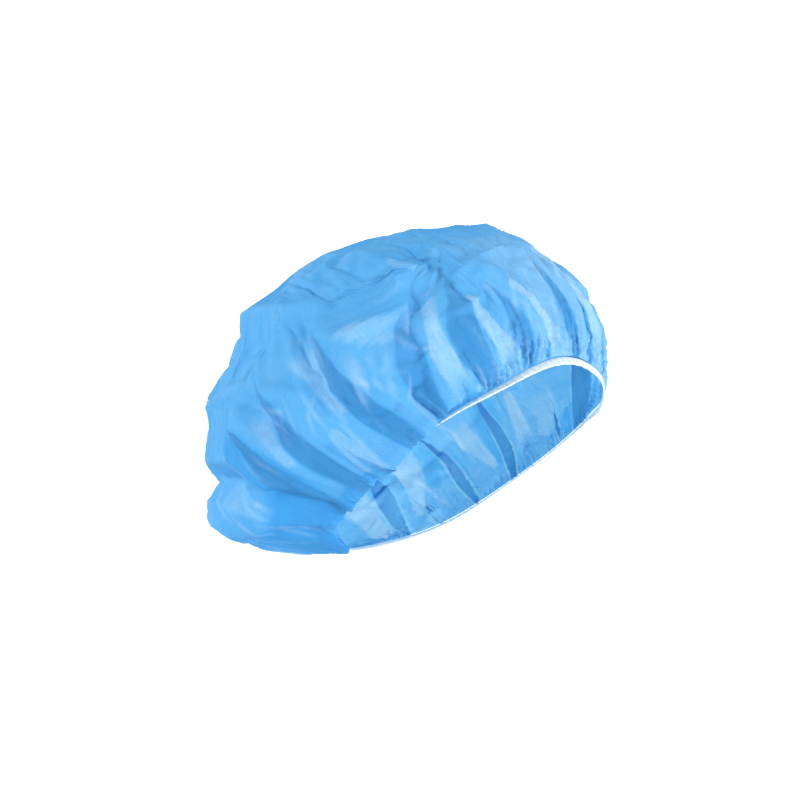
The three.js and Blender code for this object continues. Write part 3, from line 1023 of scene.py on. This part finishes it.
def elastic_material():
    """White covered rubber that passes some light, with ribs across the band, painted shade in their
    grooves, and a fine fibre grain.
    """
    material = bpy.data.materials.new("white_elastic")
    material.use_nodes = True
    tree = material.node_tree
    link = tree.links.new
    face = tree.nodes["Principled BSDF"]
    face.inputs["Roughness"].default_value = 0.7
    face.inputs["Specular IOR Level"].default_value = 0.3
    place = add_node(tree, "ShaderNodeUVMap", (-1000, 0), uv_map="along_band")
    ribs = add_node(tree, "ShaderNodeTexWave", (-750, 150), bands_direction="X", Scale=38.2, Distortion=0.6)
    grain = add_node(tree, "ShaderNodeTexNoise", (-750, -150), Scale=420.0, Detail=4.0, Roughness=0.65)
    for texture in (ribs, grain):
        link(place.outputs["UV"], texture.inputs["Vector"])
    fibres = grain.outputs["Fac"]
    both = math_node(tree, (-500, 0), "MULTIPLY_ADD", fibres, GRAIN_ON_BAND, ribs.outputs["Fac"])
    # Painted shade in the grooves between the ribs, stirred by the fibre grain
    tone = add_node(tree, "ShaderNodeValToRGB", (-300, 100))
    stops = tone.color_ramp.elements
    stops[0].position, stops[0].color = 0.2, (*BAND_SHADE, 1)
    stops[1].position, stops[1].color = 1.1 / 1.6, (*BAND_WHITE, 1)
    link(both, tone.inputs["Fac"])
    link(tone.outputs["Color"], face.inputs["Base Color"])
    through = add_node(tree, "ShaderNodeBsdfTranslucent", (0, -300))
    link(tone.outputs["Color"], through.inputs["Color"])
    mix = add_node(tree, "ShaderNodeMixShader", (350, 0), Fac=THROUGH_BAND)
    link(face.outputs["BSDF"], mix.inputs[1])
    link(through.outputs["BSDF"], mix.inputs[2])
    link(mix.outputs["Shader"], tree.nodes["Material Output"].inputs["Surface"])
    bump = add_node(tree, "ShaderNodeBump", (-250, -250), Strength=0.3, Distance=0.0002)
    link(both, bump.inputs["Height"])
    link(bump.outputs["Normal"], face.inputs["Normal"])
    return material


def make_crown():
    mesh = finished_sheet()
    crown = bpy.data.objects.new("crown_cloth", mesh)
    bpy.context.collection.objects.link(crown)
    mesh.materials.append(cloth_material())
    return crown


def make_band():
    """A ribbed strip with round edges that follows the rim and turns as it goes."""
    turn = np.arange(BAND_STEPS) * 360 / BAND_STEPS
    along = unit(rim_point(turn + 1) - rim_point(turn - 1))
    outward = unit(np.stack([along[:, 1], -along[:, 0], np.zeros(len(turn))], -1))
    up = -np.cross(along, outward)
    lean = np.radians(lean_at(turn))[:, None]
    width = outward * np.cos(lean) + up * np.sin(lean)
    depth = np.cross(along, width)
    away = unit(rim_point(turn) - bag_point(turn, np.full(turn.shape, 0.01)))
    start = rim_point(turn) + away * (BAND_GAP + BAND_THICKNESS / 2)
    rib = RIB_HEIGHT * np.cos(np.radians(turn) * BAND_RIBS)
    wave = BAND_WAVE * wrinkle_noise(turn, np.zeros(turn.shape), PUCKER_COUNT, 1, SEED + 6)
    half = BAND_THICKNESS / 2
    near, far = half, BAND_WIDTH - half
    section = [
        (near, 180), (near, 225), (near, 270), (BAND_WIDTH / 2, 270), (far, 270), (far, 315),
        (far, 0), (far, 45), (far, 90), (BAND_WIDTH / 2, 90), (near, 90), (near, 135),
    ]
    ring = []
    for middle, degrees in section:
        angle = math.radians(degrees)
        across = (middle + half * math.cos(angle)) / BAND_WIDTH
        thick = (half - RIB_HEIGHT + rib) * math.sin(angle)
        ring.append(start + width * (across * (BAND_WIDTH + wave))[:, None] + depth * thick[:, None])
    ring = np.stack(ring, 1)
    sides = len(section)
    index = np.arange(BAND_STEPS * sides).reshape(BAND_STEPS, sides)
    following = np.roll(index, -1, axis=0)
    corners = [index, np.roll(index, -1, axis=1), np.roll(following, -1, axis=1), following]
    quads = np.stack(corners, -1).reshape(-1, 4)
    mesh = new_mesh("band_strip", ring.reshape(-1, 3), quads.tolist())
    station = np.arange(BAND_STEPS)[:, None] + np.array([0, 0, 1, 1])
    side = np.arange(sides)[:, None] + np.array([0, 1, 1, 0])
    u = np.broadcast_to(station[:, None, :] / BAND_STEPS, (BAND_STEPS, sides, 4))
    v = np.broadcast_to(side[None] / sides * BAND_GIRTH, (BAND_STEPS, sides, 4))
    layer = mesh.uv_layers.new(name="along_band")
    layer.uv.foreach_set("vector", np.stack([u, v], -1).reshape(-1).astype(np.float32))
    mesh.update()
    band = bpy.data.objects.new("band_strip", mesh)
    bpy.context.collection.objects.link(band)
    mesh.materials.append(elastic_material())
    return band


def area_light(name, place, size, power):
    data = bpy.data.lights.new(name, "AREA")
    data.size = size
    data.energy = power
    light = bpy.data.objects.new(name, data)
    light.location = place
    light.rotation_euler = (Vector(LAMP_AIM) - Vector(place)).to_track_quat("-Z", "Y").to_euler()
    bpy.context.collection.objects.link(light)


def floor_material():
    """Pale paper with a faint cloudiness."""
    material = bpy.data.materials.new("pale_floor")
    material.use_nodes = True
    tree = material.node_tree
    face = tree.nodes["Principled BSDF"]
    face.inputs["Roughness"].default_value = 0.9
    cloud = add_node(tree, "ShaderNodeTexNoise", (-600, 0), Scale=3.0, Detail=4.0)
    tone = add_node(tree, "ShaderNodeValToRGB", (-350, 0))
    tone.color_ramp.elements[0].color = (0.88, 0.885, 0.89, 1)
    tone.color_ramp.elements[1].color = (0.92, 0.92, 0.92, 1)
    tree.links.new(cloud.outputs["Fac"], tone.inputs["Fac"])
    tree.links.new(tone.outputs["Color"], face.inputs["Base Color"])
    return material


def make_floor():
    bpy.ops.mesh.primitive_plane_add(size=FLOOR_SIZE, location=(0, 0, FLOOR_HEIGHT))
    floor = bpy.context.object
    floor.name = "floor"
    floor.data.materials.append(floor_material())


def make_light():
    """Soft light from all round, less from overhead and from the camera's side, and three lamps."""
    world = bpy.data.worlds.new("studio")
    world.use_nodes = True
    tree = world.node_tree
    link = tree.links.new
    background = tree.nodes["Background"]
    background.inputs["Strength"].default_value = WORLD_STRENGTH
    sky = add_node(tree, "ShaderNodeTexCoord", (-800, 0))
    split = add_node(tree, "ShaderNodeSeparateXYZ", (-600, 0))
    height = range_node(tree, (-400, 0), ZENITH_RANGE, (1.0, ZENITH_SHARE), "SMOOTHSTEP")
    front = range_node(tree, (-400, -300), FRONT_RANGE, (FRONT_SHARE, 1.0), "SMOOTHSTEP")
    both = math_node(tree, (-200, -100), "MULTIPLY", height.outputs["Result"], front.outputs["Result"])
    link(sky.outputs["Generated"], split.inputs["Vector"])
    link(split.outputs["Z"], height.inputs["Value"])
    link(split.outputs["Y"], front.inputs["Value"])
    link(both, background.inputs["Color"])
    bpy.context.scene.world = world
    for name, place, size, power in LAMPS:
        area_light(name, place, size, power)


def make_camera():
    azimuth, elevation = math.radians(VIEW_AZIMUTH), math.radians(VIEW_ELEVATION)
    right = Vector((math.cos(azimuth), math.sin(azimuth), 0))
    level = math.cos(elevation)
    back = Vector((math.sin(azimuth) * level, -math.cos(azimuth) * level, math.sin(elevation)))
    up = back.cross(right)
    middle = IMAGE_SIZE / 2
    across = (middle - ORIGIN_PIXEL[0]) / PIXELS_PER_METRE
    above = (ORIGIN_PIXEL[1] - middle) / PIXELS_PER_METRE
    place = right * across + up * above + back * VIEW_DISTANCE
    data = bpy.data.cameras.new("photo_view")
    data.sensor_width = SENSOR
    data.sensor_fit = "HORIZONTAL"
    data.lens = SENSOR * PIXELS_PER_METRE * VIEW_DISTANCE / IMAGE_SIZE
    camera = bpy.data.objects.new("photo_view", data)
    turned = Matrix((right, up, back)).transposed()
    camera.matrix_world = Matrix.Translation(place) @ turned.to_4x4()
    bpy.context.collection.objects.link(camera)
    bpy.context.scene.camera = camera


make_floor()
make_light()
make_camera()
bpy.context.scene.view_settings.view_transform = "Standard"

crown = make_crown()
band = make_band()
for piece, node, slot in ((crown, "crown", "nonwoven_cloth"), (band, "elastic_band", "white_elastic")):
    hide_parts(node)
    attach(piece, "root")
